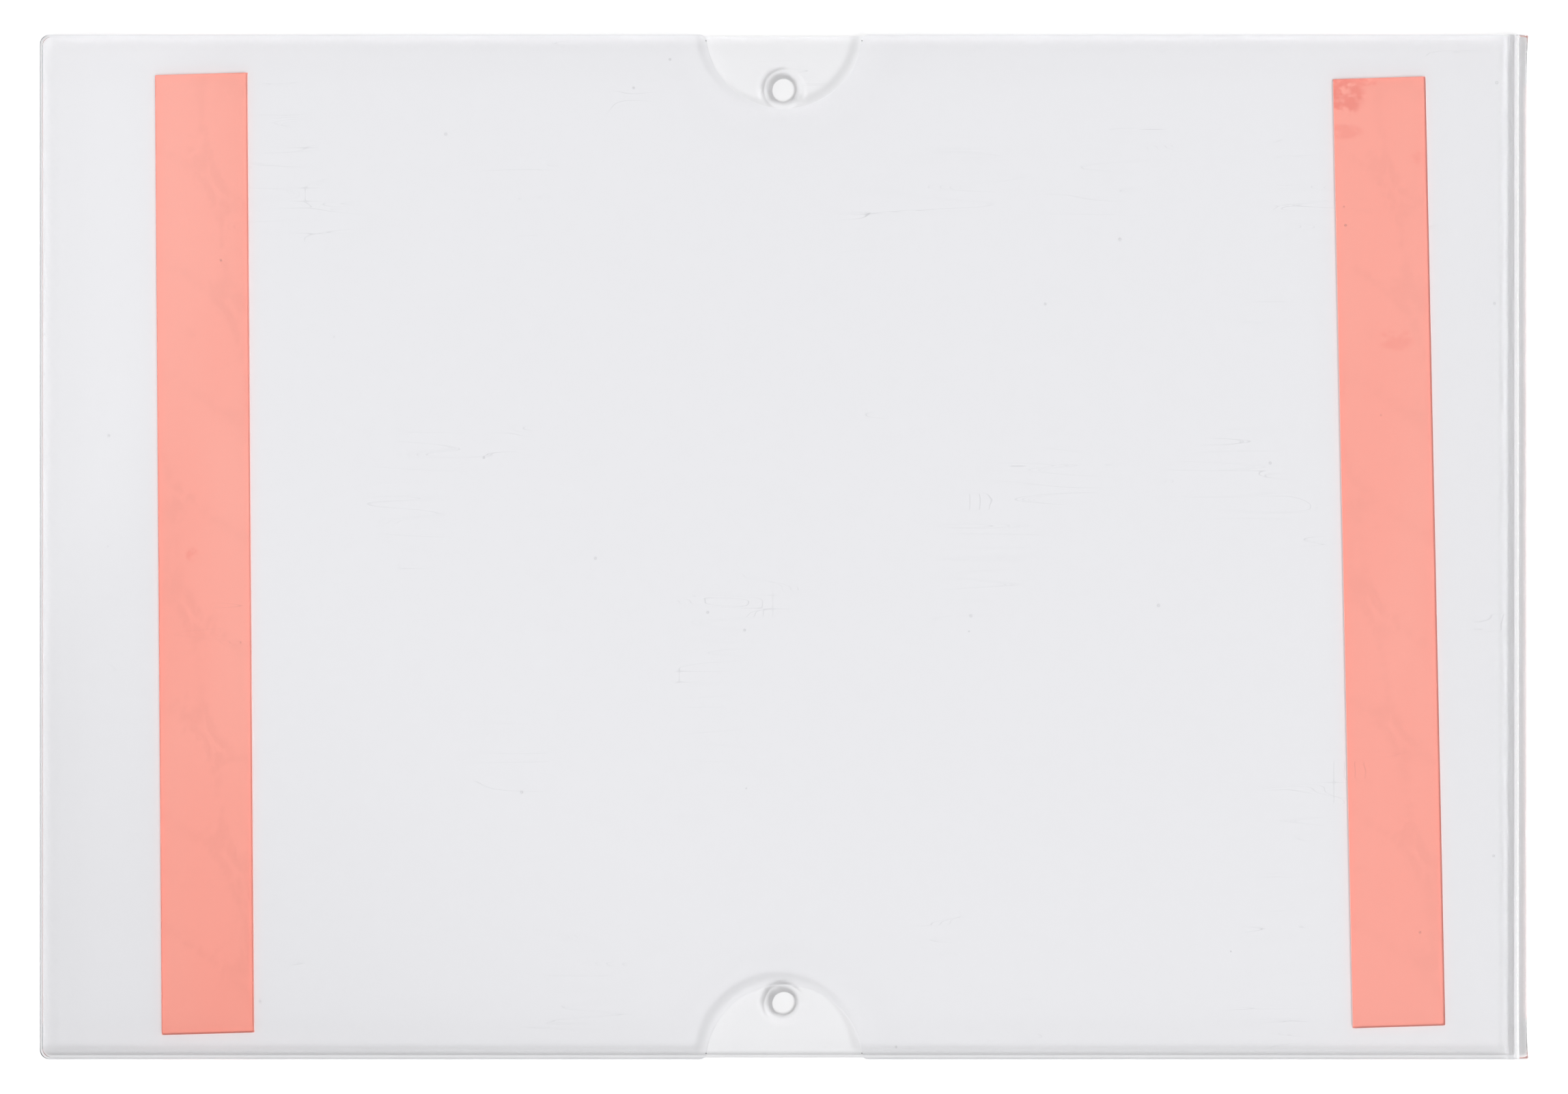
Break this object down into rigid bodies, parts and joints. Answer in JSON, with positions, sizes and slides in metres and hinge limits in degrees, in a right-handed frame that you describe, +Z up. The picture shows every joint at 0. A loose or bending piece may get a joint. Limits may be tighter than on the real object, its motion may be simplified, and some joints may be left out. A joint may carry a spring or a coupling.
{
  "type": "wall-mounted document holder",
  "caption": "Clear acrylic wall pocket for a landscape sheet: one sheet folded double at the side, with thumb notches, screw holes and tape strips.",
  "frame": {"origin": "centre of the back sheet's rear face, midway between the two screw holes", "axes": "+X towards the fold, +Y towards the wall, +Z up as it hangs in the picture"},
  "size_m": [0.3053, 0.0071, 0.21],
  "materials": {
    "clear_acrylic": "clear cast acrylic, polished on both faces and on its cut edges",
    "clear_tape": "clear soft double-sided tape",
    "liner_film": "satin salmon peel-off film"
  },
  "bodies": {
    "root": {"folded_pocket": "clear_acrylic", "left_tape": "clear_tape", "left_liner": "liner_film", "right_tape": "clear_tape", "right_liner": "liner_film"}
  },
  "joints": []
}
